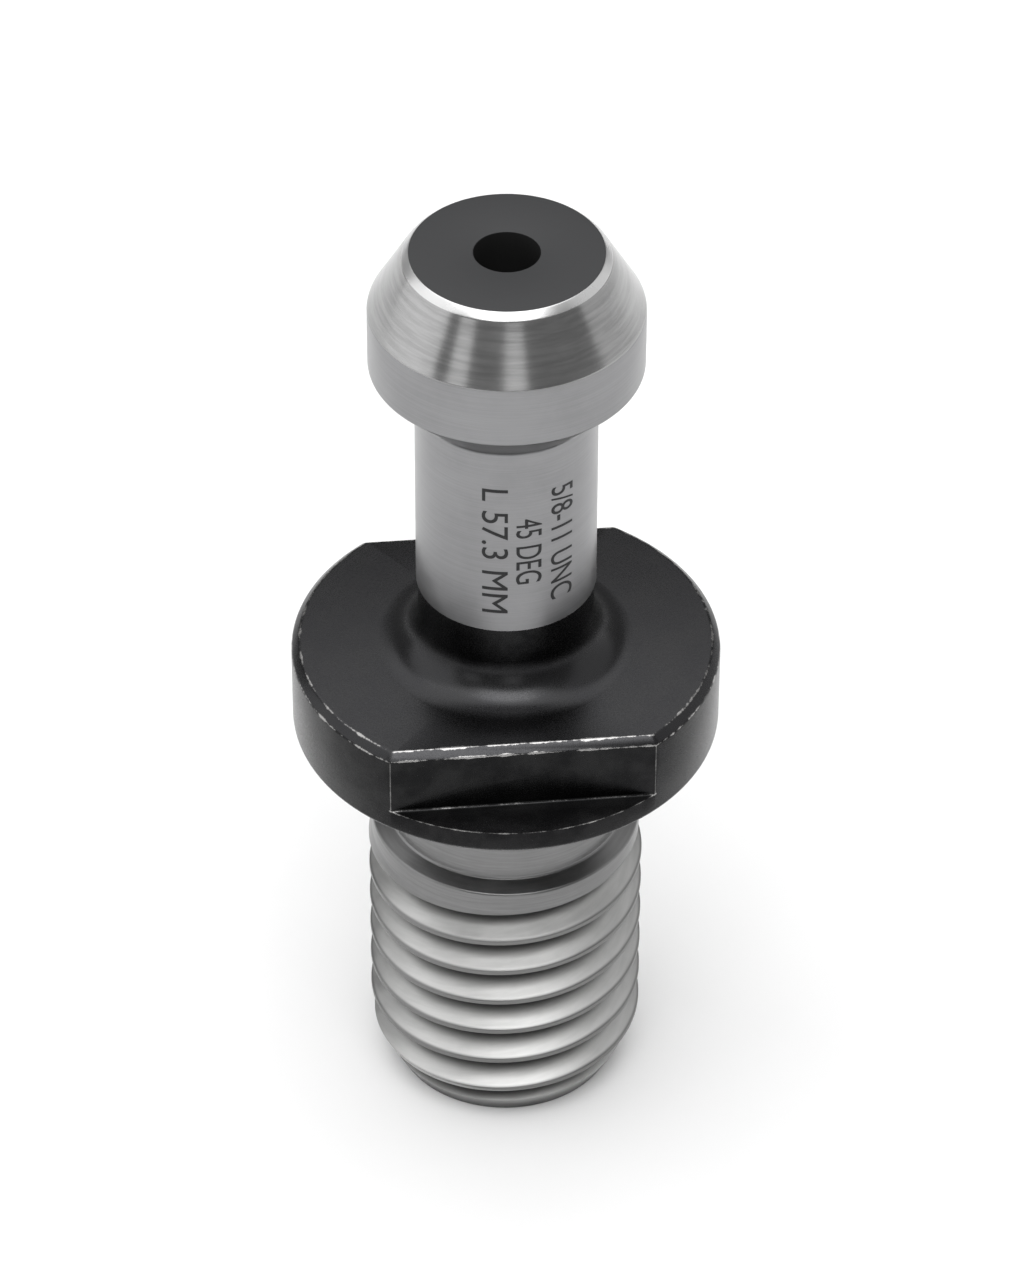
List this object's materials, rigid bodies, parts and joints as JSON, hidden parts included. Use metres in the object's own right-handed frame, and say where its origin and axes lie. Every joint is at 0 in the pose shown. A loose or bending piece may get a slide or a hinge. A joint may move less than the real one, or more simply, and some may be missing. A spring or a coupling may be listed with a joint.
{
  "type": "pull stud",
  "caption": "Steel pull stud with a conical gripping head, ground neck, round flange with wrench flats, threaded shank and coolant hole.",
  "frame": {"origin": "centre of the thread's flat end, on the stud's axis", "axes": "+Z along the axis towards the gripping head, wrench flats facing -Y and +Y"},
  "size_m": [0.024, 0.024, 0.0573],
  "materials": {
    "steel": "turned and ground bare steel; flange, foot of the neck and top face blackened"
  },
  "bodies": {
    "root": {"pull_stud": "steel"}
  },
  "joints": []
}
